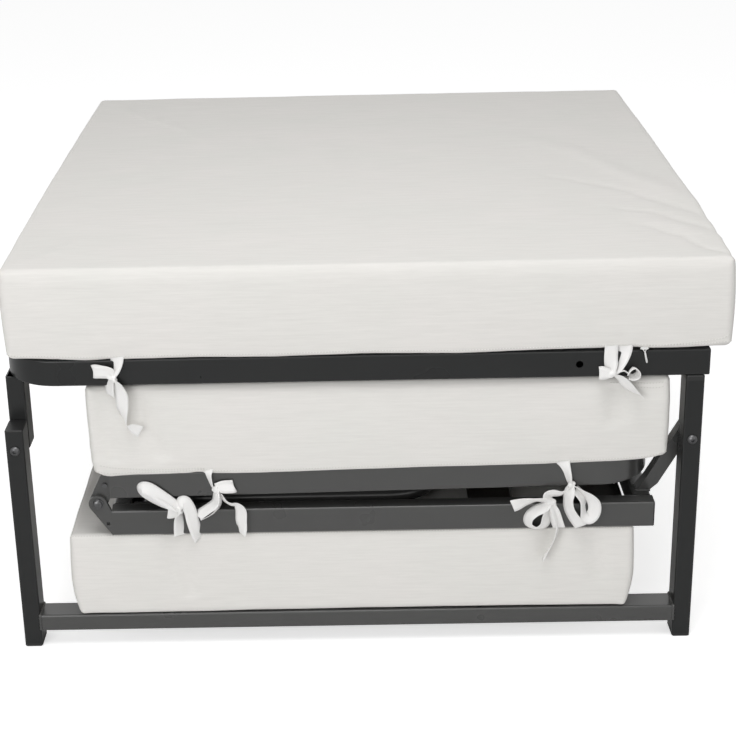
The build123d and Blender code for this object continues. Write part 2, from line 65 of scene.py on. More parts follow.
def add(tree, kind, inputs=None, **settings):
    """Add a node; each input is a value, or the output of another node to link from."""
    node = tree.nodes.new("ShaderNode" + kind)
    for name, value in settings.items():
        setattr(node, name, value)
    for name, value in (inputs or {}).items():
        if isinstance(value, bpy.types.NodeSocket):
            tree.links.new(value, node.inputs[name])
        else:
            node.inputs[name].default_value = value
    return node


def blank_material(name):
    """New material with an empty node tree."""
    material = bpy.data.materials.new(name)
    material.use_nodes = True
    material.node_tree.nodes.clear()
    return material, material.node_tree


def powder_coated_steel(name, dark, light, shine, coat_weight):
    """Dark grey polyester powder coat: semi-gloss, with a faint orange peel from the oven."""
    peel, unevenness = 2.6 * mm, 60 * mm
    material, tree = blank_material(name)
    place = add(tree, "TexCoord").outputs["Object"]
    cloud = add(tree, "TexNoise", {"Vector": place, "Scale": 1 / unevenness, "Detail": 3.0})
    tone = add(tree, "Mix", {0: cloud.outputs["Fac"], 6: linear(dark), 7: linear(light)}, data_type="RGBA")
    grain = add(tree, "TexNoise", {"Vector": place, "Scale": 1 / peel, "Detail": 2.0})
    relief = add(tree, "Bump", {"Height": grain.outputs["Fac"], "Strength": 0.07, "Distance": 0.15 * mm})
    gloss = add(tree, "MapRange", {"Value": cloud.outputs["Fac"], "To Min": 0.26, "To Max": 0.3})
    surface = add(tree, "BsdfPrincipled", {
        "Base Color": tone.outputs[2], "Roughness": gloss.outputs[0], "Normal": relief.outputs[0],
        "IOR": 1.5, "Specular IOR Level": shine, "Coat Weight": coat_weight, "Coat Roughness": 0.16,
    })
    add(tree, "OutputMaterial", {"Surface": surface.outputs[0]})
    return material


def moulded_polypropylene():
    """Black injection-moulded polypropylene: half matt from a fine spark-eroded skin.

    The skin's grain is drawn 1.8 mm wide, coarser than it is, so that it shows.
    """
    skin = 1.8 * mm
    material, tree = blank_material("moulded_polypropylene")
    place = add(tree, "TexCoord").outputs["Object"]
    grain = add(tree, "TexNoise", {"Vector": place, "Scale": 1 / skin, "Detail": 4.0})
    tone = add(tree, "Mix", {
        0: grain.outputs["Fac"], 6: linear("#131313"), 7: linear("#1E1E1E")}, data_type="RGBA")
    relief = add(tree, "Bump", {"Height": grain.outputs["Fac"], "Strength": 0.25, "Distance": 0.1 * mm})
    surface = add(tree, "BsdfPrincipled", {
        "Base Color": tone.outputs[2], "Normal": relief.outputs[0], "Roughness": 0.45, "IOR": 1.49,
    })
    add(tree, "OutputMaterial", {"Surface": surface.outputs[0]})
    return material


def knitted_cover():
    """Off-white cotton and polyester jersey: fine courses with short slubs, soft and matt.

    The slubs are drawn 2.6 mm apart, coarser than the yarn, so that they show from a step away.
    """
    slub_pitch, slub_length, blotch = 2.6 * mm, 42 * mm, 90 * mm
    material, tree = blank_material("knitted_cover")
    place = add(tree, "TexCoord")
    along_x = add(tree, "Mapping", {"Vector": place.outputs["Object"], "Scale": (
        1 / slub_length, 1 / slub_pitch, 1 / slub_pitch)})
    along_y = add(tree, "Mapping", {"Vector": place.outputs["Object"], "Scale": (
        1 / slub_pitch, 1 / slub_length, 1 / slub_pitch)})
    slubs = [add(tree, "TexNoise", {
        "Vector": way.outputs[0], "Scale": 1.0, "Detail": 3.0, "Roughness": 0.62,
    }) for way in (along_x, along_y)]
    facing = add(tree, "SeparateXYZ", {"Vector": place.outputs["Normal"]})
    end_face = add(tree, "Math", {0: facing.outputs["X"]}, operation="ABSOLUTE")
    yarn = add(tree, "Mix", {
        0: end_face.outputs[0], 2: slubs[0].outputs["Fac"], 3: slubs[1].outputs["Fac"]})
    cloud = add(tree, "TexNoise", {"Vector": place.outputs["Object"], "Scale": 1 / blotch, "Detail": 2.0})
    ground = add(tree, "Mix", {
        0: cloud.outputs["Fac"], 6: linear("#E3E3DE"), 7: linear("#EAE6E3")}, data_type="RGBA")
    contrast = add(tree, "MapRange", {"Value": yarn.outputs[0], "From Min": 0.3, "From Max": 0.7})
    tone = add(tree, "Mix", {
        0: contrast.outputs[0], 6: linear("#DAD8D4"), 7: ground.outputs[2]}, data_type="RGBA")
    softened = add(tree, "Mix", {0: 0.55, 6: tone.outputs[2], 7: ground.outputs[2]}, data_type="RGBA")
    relief = add(tree, "Bump", {"Height": yarn.outputs[0], "Strength": 0.35, "Distance": 0.5 * mm})
    surface = add(tree, "BsdfPrincipled", {
        "Base Color": softened.outputs[2], "Normal": relief.outputs[0], "Roughness": 0.92,
        "Specular IOR Level": 0.25, "Sheen Weight": 0.12, "Sheen Roughness": 0.5,
    })
    add(tree, "OutputMaterial", {"Surface": surface.outputs[0]})
    return material


def woven_tape():
    """Bleached cotton twill tape: a close diagonal weave, slightly whiter than the cover.

    The ribs are drawn 1.6 mm apart, coarser than the weave, so that they show.
    """
    rib = 1.6 * mm
    material, tree = blank_material("woven_tape")
    place = add(tree, "TexCoord").outputs["Object"]
    turned = add(tree, "Mapping", {"Vector": place, "Rotation": (0.0, math.radians(40), 0.0)})
    twill = add(tree, "TexWave", {
        "Vector": turned.outputs[0], "Scale": math.pi / (10 * rib), "Distortion": 1.5, "Detail": 2.0})
    tone = add(tree, "Mix", {
        0: twill.outputs["Fac"], 6: linear("#ECEBE9"), 7: linear("#F6F5F4")}, data_type="RGBA")
    relief = add(tree, "Bump", {"Height": twill.outputs["Fac"], "Strength": 0.3, "Distance": 0.25 * mm})
    surface = add(tree, "BsdfPrincipled", {
        "Base Color": tone.outputs[2], "Normal": relief.outputs[0], "Roughness": 0.85,
        "Specular IOR Level": 0.25, "Sheen Weight": 0.15,
    })
    add(tree, "OutputMaterial", {"Surface": surface.outputs[0]})
    return material


def sewing_thread():
    """White spun polyester thread, twisted, seen as small beads along each seam."""
    stitch = 3.2 * mm
    material, tree = blank_material("sewing_thread")
    place = add(tree, "TexCoord").outputs["Object"]
    beads = add(tree, "TexWave", {"Vector": place, "Scale": math.pi / (10 * stitch), "Distortion": 0.5})
    tone = add(tree, "Mix", {
        0: beads.outputs["Fac"], 6: linear("#CFCDC8"), 7: linear("#E6E5E1")}, data_type="RGBA")
    surface = add(tree, "BsdfPrincipled", {"Base Color": tone.outputs[2], "Roughness": 0.8})
    add(tree, "OutputMaterial", {"Surface": surface.outputs[0]})
    return material


def birch_plywood():
    """Birch plywood stained black-brown: the veneer's grain still shows along the slat."""
    grain_width, grain_length = 3 * mm, 180 * mm
    material, tree = blank_material("birch_plywood")
    place = add(tree, "TexCoord").outputs["Object"]
    drawn = add(tree, "Mapping", {"Vector": place, "Scale": (
        1 / grain_width, 1 / grain_length, 1 / grain_width)})
    grain = add(tree, "TexNoise", {
        "Vector": drawn.outputs[0], "Scale": 1.0, "Detail": 5.0, "Distortion": 0.6})
    tone = add(tree, "Mix", {
        0: grain.outputs["Fac"], 6: linear("#1E1A17"), 7: linear("#332C27")}, data_type="RGBA")
    relief = add(tree, "Bump", {"Height": grain.outputs["Fac"], "Strength": 0.2, "Distance": 0.1 * mm})
    surface = add(tree, "BsdfPrincipled", {
        "Base Color": tone.outputs[2], "Normal": relief.outputs[0], "Roughness": 0.48, "Coat Weight": 0.2,
    })
    add(tree, "OutputMaterial", {"Surface": surface.outputs[0]})
    return material


def plated_steel(name, dark, light, roughness):
    """Zinc plating on turned or pressed steel: a metal with a faintly cloudy passivation."""
    passivation = 4 * mm
    material, tree = blank_material(name)
    place = add(tree, "TexCoord").outputs["Object"]
    cloud = add(tree, "TexNoise", {"Vector": place, "Scale": 1 / passivation, "Detail": 3.0})
    tone = add(tree, "Mix", {0: cloud.outputs["Fac"], 6: linear(dark), 7: linear(light)}, data_type="RGBA")
    gloss = add(tree, "MapRange", {
        "Value": cloud.outputs["Fac"], "To Min": roughness - 0.05, "To Max": roughness + 0.07})
    surface = add(tree, "BsdfPrincipled", {
        "Base Color": tone.outputs[2], "Metallic": 1.0, "Roughness": gloss.outputs[0],
    })
    add(tree, "OutputMaterial", {"Surface": surface.outputs[0]})
    return material


def white_lacquer():
    """White stoving lacquer on a die-cast zip pull, slightly greyer and rougher in soft random clouds."""
    wear = 5 * mm
    material, tree = blank_material("white_lacquer")
    place = add(tree, "TexCoord").outputs["Object"]
    cloud = add(tree, "TexNoise", {"Vector": place, "Scale": 1 / wear, "Detail": 3.0})
    tone = add(tree, "Mix", {
        0: cloud.outputs["Fac"], 6: linear("#DCDCDA"), 7: linear("#F2F2F1")}, data_type="RGBA")
    gloss = add(tree, "MapRange", {"Value": cloud.outputs["Fac"], "To Min": 0.4, "To Max": 0.28})
    surface = add(tree, "BsdfPrincipled", {
        "Base Color": tone.outputs[2], "Roughness": gloss.outputs[0], "IOR": 1.5})
    add(tree, "OutputMaterial", {"Surface": surface.outputs[0]})
    return material


coat = powder_coated_steel("powder_coated_steel", "#3D3D3C", "#424241", 0.5, 0.3)
# Painted shade: a darker, less glossy copy of the same powder coat
painted_shade_coat = powder_coated_steel("powder_coated_steel_painted_shade", "#1A1B1B", "#202121", 0.3, 0.1)
lacquer = white_lacquer()
cover_knit = knitted_cover()
tape = woven_tape()
thread = sewing_thread()
finishes = {
    "grey_powder_coat": coat,
    "black_plastic": moulded_polypropylene(),
    "mattress_cover": cover_knit,
    "birch_slats": birch_plywood(),
    "black_zinc_fasteners": plated_steel("black_zinc_steel", "#4C4C4D", "#6A6A6B", 0.32),
    "zinc_nuts": plated_steel("bright_zinc_steel", "#9C9EA1", "#C4C6C8", 0.3),
}
# The legs and the top deck's tubes read darker than the rails and the lower decks: painted shade, a darker
# and less glossy copy of the same coat stands in for the shade and dim reflections on them
painted_shade_nodes = {"front_left_leg", "front_right_leg", "rear_left_leg", "rear_right_leg", "top_frame_tube",
              "top_end_tube", "top_stub_front", "top_stub_rear"}
for subpart in frame["record"]["subparts"]:
    node = subpart["node"]
    cad_object = frame["nodes"][node]
    if not cad_object.material_slots:
        cad_object.data.materials.append(None)
    for coated in cad_object.material_slots:
        coated.material = painted_shade_coat if node in painted_shade_nodes else finishes[subpart["material_slot"]]


# Meshes

def mesh_piece(name, verts, faces, material, body, smooth=True):
    """New mesh object with outward normals that rides on a body."""
    mesh = bpy.data.meshes.new(name)
    mesh.from_pydata([tuple(v) for v in verts], [], faces)
    work = bmesh.new()
    work.from_mesh(mesh)
    bmesh.ops.recalc_face_normals(work, faces=work.faces)
    work.to_mesh(mesh)
    work.free()
    mesh.polygons.foreach_set("use_smooth", [smooth] * len(mesh.polygons))
    mesh.materials.append(material)
    piece = bpy.data.objects.new(name, mesh)
    bpy.context.scene.collection.objects.link(piece)
    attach(piece, body)
    return piece


def joined(parts):
    """One list of vertices and one of faces from several (vertices, faces) pairs."""
    verts, faces = [], []
    for part_verts, part_faces in parts:
        start = len(verts)
        verts += [tuple(v) for v in part_verts]
        faces += [[start + i for i in face] for face in part_faces]
    return verts, faces


def smooth_line(points, steps):
    """Catmull-Rom curve through rows of numbers, with an even number of steps between them."""
    rows = np.array(points, float)
    rows = np.vstack([2 * rows[0] - rows[1], rows, 2 * rows[-1] - rows[-2]])
    out = []
    for a, b, c, d in zip(rows[:-3], rows[1:-2], rows[2:-1], rows[3:]):
        for t in np.arange(steps) / steps:
            out.append(0.5 * (2 * b + (c - a) * t + (2 * a - 5 * b + 4 * c - d) * t ** 2
                              + (3 * b - a - 3 * c + d) * t ** 3))
    return np.array(out + [rows[-2]])


def tube(points, radius, sides=8, closed=False):
    """Round tube along points; radius is one value or one for each point."""
    line = np.array(points, float)
    radii = np.broadcast_to(radius, len(line))
    ahead = np.roll(line, -1, 0) - np.roll(line, 1, 0)
    if not closed:
        ahead[0], ahead[-1] = line[1] - line[0], line[-1] - line[-2]
    verts, faces = [], []
    side = Vector((0.0, 0.0, 1.0))
    for centre, way, r in zip(line, ahead, radii):
        way = Vector(way).normalized()
        side = (side - way * side.dot(way))
        side = (side if side.length > 0.05 else way.orthogonal()).normalized()
        other = way.cross(side)
        for k in range(sides):
            turn = 2 * math.pi * k / sides
            verts.append(Vector(centre) + (side * math.cos(turn) + other * math.sin(turn)) * r)
    rings = len(line)
    for i in range(rings if closed else rings - 1):
        a, b = i * sides, (i + 1) % rings * sides
        faces += [[a + k, a + (k + 1) % sides, b + (k + 1) % sides, b + k] for k in range(sides)]
    if not closed:
        faces += [list(range(sides)), list(range((rings - 1) * sides, rings * sides))]
    return verts, faces


# Mattress covers

draw_in = 2.0 * mm  # how far the crest is drawn in between its corners
side_swell = 2.0 * mm  # how far each side swells out at half height
plan_corner = 6 * mm  # rounding of the upright corners
base_edge = 5 * mm  # height of the base edge's rounding
base_lip = 2.5 * mm  # depth of that rounding
lip_rise = 0.3  # part of the half height over which it opens to plan_corner
end_edge = 4 * mm  # rounding of the crest's edge at the two ends
end_blend = 10 * mm  # how near the ends it starts
taper_parts = 12  # the end taper takes the last twelfth of the half length
taper_start = 0.1  # and starts this far above half height
edge_band = 22 * mm  # the mesh is closer within this distance of an edge
edge_spacing = 2.4 * mm
side_power, left_power = 4, 8  # how sharply side_reach and left_reach gather at the edges
front_depth = 0.45  # how much depth counts in the distance from a crease on a front
base_seam = 4 * mm
thread_radius = 0.4 * mm


class Cover:
    """Sewn cover of one mattress: it turns points of a plain block into the soft, pulled shape.

    The base lies on the deck, and the crest is the free face: facing is 1 where that is up, -1 where down.
    """

    def __init__(self, node, facing, creases, hem_line, side_reach, left_reach, spacing=4.6 * mm,
                 crown=2 * mm, crest_edge=17 * mm, end_taper=0.0, bulge=0.0, crest_rise=0.0):
        low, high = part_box(node)
        self.middle = (low + high) / 2
        self.half = np.array((high - low) / 2)
        self.facing, self.spacing = facing, spacing
        self.creases, self.hem_line = creases, np.array(hem_line)
        self.crown, self.crest_edge, self.bulge = crown, crest_edge, bulge
        self.side_reach, self.left_reach, self.end_taper = side_reach, left_reach, end_taper
        heights = np.array([v.co for v in frame["nodes"][node].data.vertices])
        self.crest = high.z + crest_rise if facing > 0 else low.z
        near_end = 30 * mm
        if facing > 0:
            left = heights[heights[:, 0] < low.x + near_end][:, 2].min()
            right = heights[heights[:, 0] > high.x - near_end][:, 2].min()
        else:
            left = right = high.z
        self.base_line = (left, (right - left) / (high.x - low.x - 2 * base_edge))

    def steps(self, half):
        """Places along one side of the block: close together by the edges, wider between."""
        band = np.arange(0, edge_band, edge_spacing)
        count = int(np.ceil((2 * half - 2 * edge_band) / self.spacing))
        inner = np.linspace(-half + edge_band, half - edge_band, count + 1)
        return np.concatenate([-half + band, inner, half - band[::-1]])

    def base_at(self, x):
        """Height of the foam's base at a place along the bed; on the outer deck it slopes."""
        start, slope = self.base_line
        return start + slope * (x - self.middle.x + self.half[0] - base_edge)

    def place(self, block_points):
        """Points of the block's surface, in the block's own axes, on the finished cover."""
        p = np.asarray(block_points, float)
        rise = np.where(p[:, 2] > 0, self.crest_edge, base_edge)
        near_end = np.exp(-((self.half[0] - np.abs(p[:, 0])) / end_blend) ** 2)
        rise = rise + (end_edge - rise) * near_end
        up_from_base = np.clip((p[:, 2] / self.half[2] + 1) / lip_rise, 0, 1)
        lip = base_lip + (plan_corner - base_lip) * up_from_base
        reach = np.stack([np.full(len(p), plan_corner), lip, rise], 1)
        core = np.clip(p, -(self.half - reach), self.half - reach)
        lean = (p - core) / reach
        lean /= np.linalg.norm(lean, axis=1, keepdims=True)
        q = core + lean * reach
        out = lean / reach
        out /= np.linalg.norm(out, axis=1, keepdims=True)
        u, v, t = (q / self.half).T
        share = (t + 1) / 2
        swell = side_swell * (1 - t ** 2)
        drawn = (draw_in - self.bulge) * share
        x = self.middle.x + q[:, 0] - u * drawn * (1 - v ** 2) + out[:, 0] * swell
        x -= np.interp(share, (0, 1), self.left_reach) * np.clip(-u, 0, 1) ** left_power
        at_end = np.clip(np.abs(u) * taper_parts - (taper_parts - 1), 0, 1)
        near_crest = np.clip((t - taper_start) / (1 - taper_start), 0, 1)
        x -= np.sign(u) * self.end_taper * at_end * near_crest ** 1.5
        y = self.middle.y + q[:, 1] - v * drawn * (1 - u ** 2) + out[:, 1] * swell
        y += np.interp(share, (0, 1), self.side_reach) * np.sign(v) * np.abs(v) ** side_power
        base = self.base_at(x)
        fall = self.crown * (1 - (1 - u ** 2) * (1 - v ** 2)) * share
        z = base + share * (self.crest - base) - self.facing * fall
        out[:, 2] *= self.facing
        cover = np.stack([x, y, z], 1)
        return cover + out * self.relief(cover)[:, None] + self.hem(cover, v)

    def relief(self, cover):
        """Height of the creases and of the foam's slow unevenness over the plain cover."""
        slow, slight = 70 * mm, 24 * mm
        wide_swell, small_swell = 0.55 * mm, 0.16 * mm
        blunt_start, blunt_power = 0.08, 0.6
        high = np.array([wide_swell * noise.noise(Vector(c) / slow)
                         + small_swell * noise.noise(Vector(c) / slight) for c in cover])
        for points, height, width in self.creases:
            line = smooth_line(np.array(points) * mm, 6)
            height, width = height * mm, width * mm
            near = np.all((cover > line.min(0) - 3 * width) & (cover < line.max(0) + 3 * width), 1)
            if not near.any():
                continue
            on_front = np.ptp(line[:, 1]) < 6 * mm
            squeeze = np.array((1.0, front_depth if on_front else 1.0, 1.0))
            line, spots = line * squeeze, cover[near] * squeeze
            best = np.full(len(spots), np.inf)
            where = np.zeros(len(spots))
            for i, (a, b) in enumerate(zip(line[:-1], line[1:])):
                way = b - a
                along = np.clip((spots - a) @ way / (way @ way), 0, 1)
                gap = np.linalg.norm(spots - a - along[:, None] * way, axis=1)
                closer = gap < best
                best[closer] = gap[closer]
                where[closer] = ((i + along) / (len(line) - 1))[closer]
            fade = np.sin(math.pi * np.clip(blunt_start + (1 - blunt_start) * where, 0, 1)) ** blunt_power
            high[near] += height * fade * np.exp(-(best / width) ** 2)
        return high

    def hem(self, cover, v):
        """Small moves of the edge over the steel, in front and behind: the cover laps it or stands off."""
        move = np.zeros_like(cover)
        lower_edge = self.base_at(cover[:, 0]) if self.facing > 0 else self.crest
        hem_height = 18 * mm
        close = np.clip(1 - np.abs(cover[:, 2] - lower_edge) / hem_height, 0, 1)
        places, heights = self.hem_line.T * mm
        move[:, 2] = close * np.interp(cover[:, 0], places, heights)
        rim, rim_depth = 2 * mm, 7 * mm
        return move * np.clip(1 - (self.half[1] * (1 - np.abs(v)) - rim) / rim_depth, 0, 1)[:, None]

    def lattice(self):
        """Vertices and quads all round the block."""
        axes = [self.steps(h) for h in self.half]
        counts = [len(a) for a in axes]
        grid = np.stack(np.meshgrid(*axes, indexing="ij"), -1)
        index = -np.ones(counts, int)
        skin = np.zeros(counts, bool)
        skin[[0, -1]] = skin[:, [0, -1]] = skin[:, :, [0, -1]] = True
        index[skin] = np.arange(skin.sum())
        faces = []
        for axis in range(3):
            for end in (0, -1):
                side = np.take(index, end, axis)
                quads = np.stack([side[:-1, :-1], side[1:, :-1], side[1:, 1:], side[:-1, 1:]], -1)
                faces += quads.reshape(-1, 4).tolist()
        return self.place(grid[skin]), faces

    def sewn_line(self, way, closed=False):
        """Thread along block points, which are given as (x, y, height from the middle) in mm."""
        points = np.array(way) * mm
        if not closed:
            points = smooth_line(points, 8)
        return tube(self.place(points), thread_radius, 6, closed)

    def band(self, height):
        """Block points in mm all round the block at one height, which is in metres from the middle."""
        hx, hy = self.half[:2] / mm
        z = height / mm
        turn = plan_corner / mm
        ring = []
        for (x0, y0), (x1, y1) in zip([(-hx, -hy), (hx, -hy), (hx, hy), (-hx, hy)],
                                      [(hx, -hy), (hx, hy), (-hx, hy), (-hx, -hy)]):
            length = math.hypot(x1 - x0, y1 - y0)
            near = list(np.linspace(0, turn, 5)[:-1])
            between = list(np.arange(turn, length - turn, 12))
            places = near + between + [length - d for d in near[::-1]]
            ring += [(x0 + (x1 - x0) * d / length, y0 + (y1 - y0) * d / length, z) for d in places[:-1]]
        return ring


def pull_folds(x, z, up, reach):
    """Short folds that fan out from where a ribbon is sewn to a front face, in mm."""
    face = -400
    rise, bend_along, bend_up = 0.75, 0.42, 0.26
    fan = []
    for lean, share in ((-0.75, 1.0), (0.15, 0.7), (0.9, 0.85)):
        tip = (x + lean * reach * share, face, z + up * reach * share * rise)
        half_way = (x + lean * reach * share * bend_along, face, z + up * reach * share * bend_up)
        fan.append(([(x, face, z), half_way, tip], 0.9, 6))
    dent = [(x - 6, face, z - up * 2), (x, face, z + up * 3), (x + 6, face, z - up * 2)]
    return fan + [(dent, -2.0, 8)]


# Creases: points (X, Y, Z), height over the cover, which is below 0 in a dent, and width, all in mm
top_creases = pull_folds(-262, 356, 1, 45) + pull_folds(272, 356, 1, 50)
top_creases += [
    ([(396, -200, 449), (373, -162, 450), (352, -113, 450), (330, -80, 450), (301, -11, 450),
      (276, 42, 450), (253, 75, 450), (215, 130, 450)], 2.0, 17),
    ([(396, -262, 449), (382, -237, 450), (354, -198, 450), (335, -172, 450), (320, -146, 450),
      (288, -117, 450), (250, -87, 450), (214, -60, 450)], -1.5, 8),
    ([(394, -312, 449), (378, -290, 450), (352, -258, 450), (340, -239, 450), (312, -225, 450),
      (285, -212, 450)], -1.5, 6),
    ([(394, -330, 449), (372, -318, 450), (345, -280, 450), (318, -262, 450)], 1.0, 9),
    ([(392, -394, 447), (388, -385, 449), (367, -365, 450), (357, -343, 450), (350, -321, 450),
      (338, -313, 450), (323, -290, 450), (300, -272, 450)], -1.8, 5),
    ([(384, -400, 380), (384, -400, 400), (382, -398, 436)], 1.0, 6),
    ([(-366, -380, 444), (-330, -340, 449), (-300, -270, 450)], 0.8, 9),
    ([(-360, 380, 446), (-320, 300, 449), (-250, 210, 450), (-200, 120, 450)], 0.9, 10),
    ([(372, 380, 446), (320, 290, 449), (270, 230, 450)], 0.9, 9),
]
middle_creases = pull_folds(-174, 218, 1, 85) + pull_folds(215, 224, 1, 60)
middle_creases += [
    ([(-318, -400, 236), (-260, -400, 224), (-205, -400, 222)], 1.6, 7),
    ([(-312, -400, 250), (-250, -400, 236), (-186, -400, 226)], 1.1, 8),
    ([(-284, -402, 312), (-281, -402, 302), (-279, -402, 266),
      (-272, -402, 242), (-268, -402, 230)], -4.6, 12),
    ([(-250, -402, 312), (-246, -402, 300), (-238, -402, 271),
      (-226, -402, 243), (-220, -402, 230)], -5.4, 13),
    ([(270, -402, 310), (271, -402, 300), (272, -402, 272), (273, -402, 262)], -6.0, 12),
    ([(322, -400, 262), (300, -400, 250), (262, -400, 240)], 0.9, 8),
    ([(324, -400, 290), (306, -400, 276), (280, -400, 268)], 0.8, 8),
]
low_creases = pull_folds(-195, 138, -1, 75) + pull_folds(208, 138, -1, 70)
low_creases += [
    ([(-217, -404, 146), (-216, -404, 138), (-213, -404, 107),
      (-199, -404, 69), (-196, -404, 60)], -4.6, 12),
    ([(208, -404, 140), (206, -404, 131), (199, -404, 100), (197, -404, 88)], -4.4, 11),
    ([(246, -404, 130), (249, -404, 124), (261, -404, 86), (264, -404, 72)], -3.8, 11),
    ([(-330, -400, 62), (-296, -400, 84), (-268, -400, 118)], 0.9, 9),
    ([(290, -400, 66), (270, -400, 92), (256, -400, 122)], 0.9, 9),
]

# The edge over the steel: pairs of X and height over the plain edge, in mm
top_hem = [
    (-380, 5.0), (-373, 3.4), (-352, 2.8), (-325, 1.3), (-296, -0.8), (-272, 0.4), (-255, 0.2),
    (-206, 0.8), (-152, 0.7), (-93, 0.0), (-53, 1.3), (-2, 2.1), (49, 1.1), (100, 0.2), (145, 1.2),
    (200, 2.7), (255, 3.9), (286, 4.6), (306, 2.3), (343, 2.5), (365, 3.5), (388, 6.0),
]
middle_hem = [
    (-292, 1.5), (-287, -1.5), (-279, -3.4), (-266, -2.2), (-251, -1.4), (-214, -1.7),
    (-195, -1.8), (-183, -0.6), (-166, -2.6), (-143, -3.9), (-115, -4.4), (-60, -3.6), (38, -2.6),
    (136, -2.9), (210, -2.8), (243, -2.2), (263, -1.6), (279, -1.1), (303, 0.6), (316, 2.9), (324, 6.5),
]
low_hem = [
    (-340, 0.0), (-280, -0.8), (-200, -1.4), (-120, -0.8), (0, 0.0), (340, 0.0),
]

# side_reach and left_reach are how far the cover bulges past the foam at its base and at its crest
covers = {
    "top_mattress": Cover(
        "top_mattress", 1, top_creases, top_hem, side_reach=(9.5 * mm, 2 * mm), left_reach=(1 * mm, 4 * mm),
        crown=1.6 * mm, crest_rise=1.6 * mm, bulge=4.5 * mm),
    "outer_mattress": Cover(
        "outer_mattress", 1, middle_creases, middle_hem, side_reach=(9.5 * mm, 5 * mm),
        left_reach=(-3 * mm, 2 * mm)),
    "inner_mattress": Cover(
        "inner_mattress", -1, low_creases, low_hem, side_reach=(6 * mm, 9.5 * mm),
        left_reach=(3 * mm, 3 * mm), spacing=6 * mm, crown=0.6 * mm, crest_edge=8 * mm, end_taper=6 * mm),
}
deck_of = {"top_mattress": "top_deck", "outer_mattress": "outer_deck", "inner_mattress": "inner_deck"}


def seam_lines(cover, partial):
    """Seam of the base panel, the four corner seams and any part seams, as one set of threads."""
    hx, hy, hz = cover.half / mm
    hidden_seam = 0.6 * mm
    height = base_seam if cover.facing > 0 else hidden_seam
    parts = [cover.sewn_line(cover.band(-cover.half[2] + height), closed=True)]
    corner_inset = plan_corner / mm * 0.8
    crest_gap = 4
    for x in (-hx, hx):
        for y in (-hy + corner_inset, hy - corner_inset):
            heights = np.linspace(-hz + base_seam / mm, hz - crest_gap, 8)
            parts.append(cover.sewn_line([(x, y, h) for h in heights]))
    parts += [cover.sewn_line(way) for way in partial]
    return joined(parts)


hx_top, hx_mid = covers["top_mattress"].half[0] / mm, covers["outer_mattress"].half[0] / mm
part_seams = {
    "top_mattress": [
        [(296, -400, -47), (337, -400, -44), (355, -400, -42), (373, -400, -40), (hx_top - 3, -400, -35)],
    ],
    "outer_mattress": [
        [(-hx_mid + 8, -400, -40), (-260, -400, -45), (-190, -400, -46.5)],
        [(250, -400, 48), (290, -400, 46.5), (hx_mid - 6, -400, 46)],
        [(262, -400, 42), (296, -400, 39.5), (hx_mid - 6, -400, 41)],
    ],
    "inner_mattress": [],
}
for node, cover in covers.items():
    verts, faces = cover.lattice()
    piece = mesh_piece(node + "_cover", verts, faces, cover_knit, deck_of[node])
    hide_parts(node)
    verts, faces = seam_lines(cover, part_seams[node])
    mesh_piece(node + "_seams", verts, faces, thread, deck_of[node])


# Tie ribbons

tape_width = 14.5 * mm
tape_thick = 0.6 * mm
tape_steps = 7
tape_across = (-1.0, -0.5, 0.0, 0.5, 1.0)
tube_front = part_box("top_frame_tube")[0].y


def ribbon(knot, points):
    """Closed strip of tape along (right, up, out, roll) rows, in mm from the knot and degrees.

    Without roll the tape lies flat against the view from the front; near the knot it is gathered.
    """
    rows = smooth_line(points, tape_steps)
    line = np.array([[knot[0] + r[0], tube_front / mm - r[2], knot[1] + r[1]] for r in rows]) * mm
    ahead = np.gradient(line, axis=0)
    front = Vector((0.0, -1.0, 0.0))
    gathered, gathered_reach = 0.4, 6
    cup_depth, cup_swing, cup_reach, cup_level = 0.35 * mm, 0.8, 9, 0.4
    end_on = 0.3
    side = None
    verts, faces = [], []
    length = 0.0
    for i, (centre, way, row) in enumerate(zip(line, ahead, rows)):
        way = Vector(way).normalized()
        flat = way.cross(front)
        if flat.length < end_on and side is not None:
            flat = side - way * side.dot(way)
        flat.normalize()
        if side is not None and flat.dot(side) < 0:
            flat.negate()
        side = flat
        edge = Matrix.Rotation(math.radians(row[3]), 3, way) @ flat
        normal = edge.cross(way).normalized()
        from_knot = math.hypot(row[0], row[1])
        wide = tape_width / 2 * (1 - gathered * math.exp(-(from_knot / gathered_reach) ** 2))
        cup = cup_depth * (1 - cup_swing * math.cos(from_knot / cup_reach))
        ring = [Vector(centre) + edge * wide * s + normal * (cup * (s * s - cup_level) + tape_thick / 2)
                for s in tape_across]
        ring += [p - normal * tape_thick for p in ring[::-1]]
        verts += ring
        if i:
            length += (Vector(line[i]) - Vector(line[i - 1])).length
    size = 2 * len(tape_across)
    for i in range(len(line) - 1):
        a, b = i * size, (i + 1) * size
        faces += [[a + k, a + (k + 1) % size, b + (k + 1) % size, b + k] for k in range(size)]
    for start in (0, (len(line) - 1) * size):
        faces += [[start + k, start + k + 1, start + size - 2 - k, start + size - 1 - k] for k in range(4)]
    return verts, faces, length


